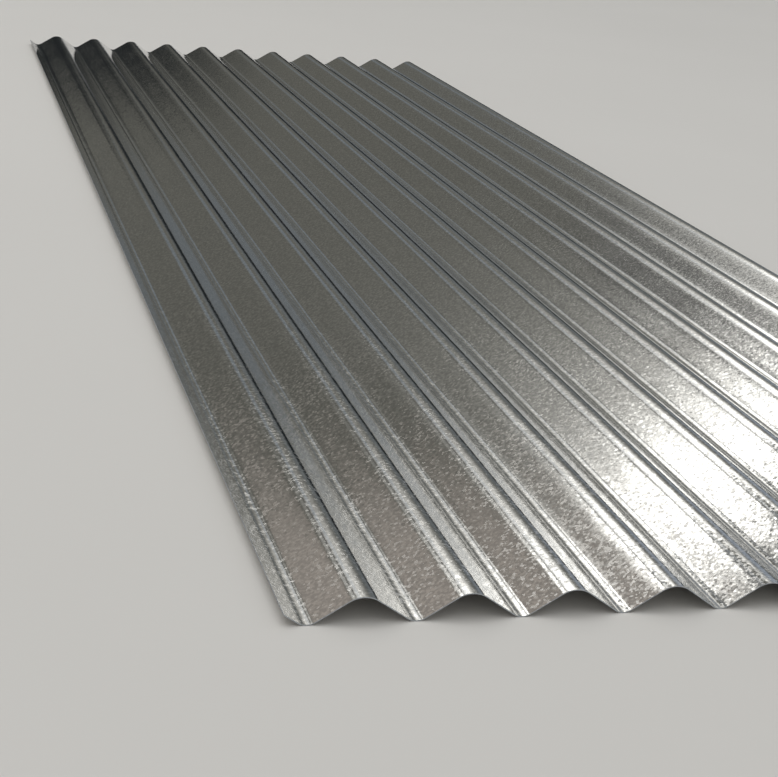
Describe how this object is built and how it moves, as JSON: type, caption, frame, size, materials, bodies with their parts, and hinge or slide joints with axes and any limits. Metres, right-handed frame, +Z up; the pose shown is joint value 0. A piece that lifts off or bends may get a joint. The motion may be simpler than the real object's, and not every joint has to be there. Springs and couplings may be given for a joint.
{
  "type": "corrugated metal sheet",
  "caption": "Long galvanised steel roofing sheet with even round waves along its length, one short turned-up lip past a valley and one high edge at a crest, lying flat.",
  "frame": {"origin": "middle of the sheet's footprint, at the underside of the valleys", "axes": "+X across the waves towards the high edge, +Y along the waves, +Z up through the sheet"},
  "size_m": [0.8204, 2.44, 0.0199],
  "materials": {
    "galvanised_steel": "bright hot-dip zinc with a fine mottled spangle"
  },
  "bodies": {
    "root": {"corrugated_sheet": "galvanised_steel"}
  },
  "joints": []
}
